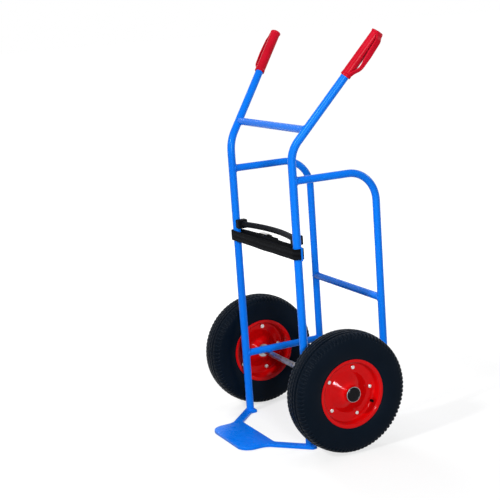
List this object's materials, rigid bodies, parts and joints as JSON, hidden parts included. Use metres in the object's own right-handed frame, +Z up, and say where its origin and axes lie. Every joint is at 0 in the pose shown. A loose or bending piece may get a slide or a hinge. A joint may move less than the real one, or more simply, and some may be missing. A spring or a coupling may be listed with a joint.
{
  "type": "drum trolley",
  "caption": "Two-wheeled drum trolley: bent tube frame with swept-back handles, rear stays, toe plate, strap with cam buckle and pneumatic wheels on an axle.",
  "frame": {"origin": "on the floor, below the middle of the overall box", "axes": "+Z up; +X along the axle to the right-hand wheel as seen from the load side; +Y to the operator"},
  "size_m": [0.7448, 0.5124, 1.3421],
  "materials": {
    "blue_paint": "gloss",
    "red_paint": "gloss",
    "red_plastic": "satin",
    "tyre_rubber": "matte",
    "black_rubber": "matte",
    "valve_rubber": "satin",
    "black_plastic": "satin",
    "webbing": "woven",
    "zinc_steel": "zinc plated",
    "bare_steel": "bright drawn"
  },
  "bodies": {
    "frame": {"handle_crossbar": "blue_paint", "rear_crossbar": "blue_paint", "toe_plate": "blue_paint", "cradle_bar": "blue_paint", "cradle_sleeve": "black_rubber", "axle": "bare_steel", "axle_collars": "bare_steel", "axle_washers": "zinc_steel", "split_pins": "zinc_steel", "strap": "webbing", "buckle_body": "zinc_steel", "buckle_pin": "bare_steel", "buckle_spring": "bare_steel", "left_rail": "blue_paint", "right_rail": "blue_paint", "left_stay": "blue_paint", "right_stay": "blue_paint", "left_strut": "blue_paint", "right_strut": "blue_paint", "left_keeper": "blue_paint", "right_keeper": "blue_paint", "left_buffer": "black_rubber", "right_buffer": "black_rubber", "left_grip": "red_plastic", "right_grip": "red_plastic"},
    "left_wheel": {"left_wheel_tyre": "tyre_rubber", "left_inner_tube": "black_rubber", "left_valve": "valve_rubber", "left_outer_rim": "red_paint", "left_inner_rim": "red_paint", "left_rim_bolts": "zinc_steel", "left_rim_nuts": "zinc_steel", "left_hub": "red_paint", "left_bearings": "bare_steel", "left_hub_cap": "black_plastic"},
    "right_wheel": {"right_wheel_tyre": "tyre_rubber", "right_inner_tube": "black_rubber", "right_valve": "valve_rubber", "right_outer_rim": "red_paint", "right_inner_rim": "red_paint", "right_rim_bolts": "zinc_steel", "right_rim_nuts": "zinc_steel", "right_hub": "red_paint", "right_bearings": "bare_steel", "right_hub_cap": "black_plastic"},
    "buckle_lever": {"buckle_lever": "zinc_steel"}
  },
  "joints": [
    {"name": "left_wheel_spin", "type": "hinge", "parent": "frame", "child": "left_wheel", "pos_m": [-0.314, 0.03775, 0.2], "axis": [1, 0, 0], "continuous": true},
    {"name": "right_wheel_spin", "type": "hinge", "parent": "frame", "child": "right_wheel", "pos_m": [0.314, 0.03775, 0.2], "axis": [1, 0, 0], "continuous": true},
    {"name": "buckle_lever_open", "type": "hinge", "parent": "frame", "child": "buckle_lever", "pos_m": [-0.07378, -0.01844, 0.651], "axis": [0, 0, 1], "range_deg": [0, 100], "stiffness_Nm_per_rad": 0.05}
  ]
}
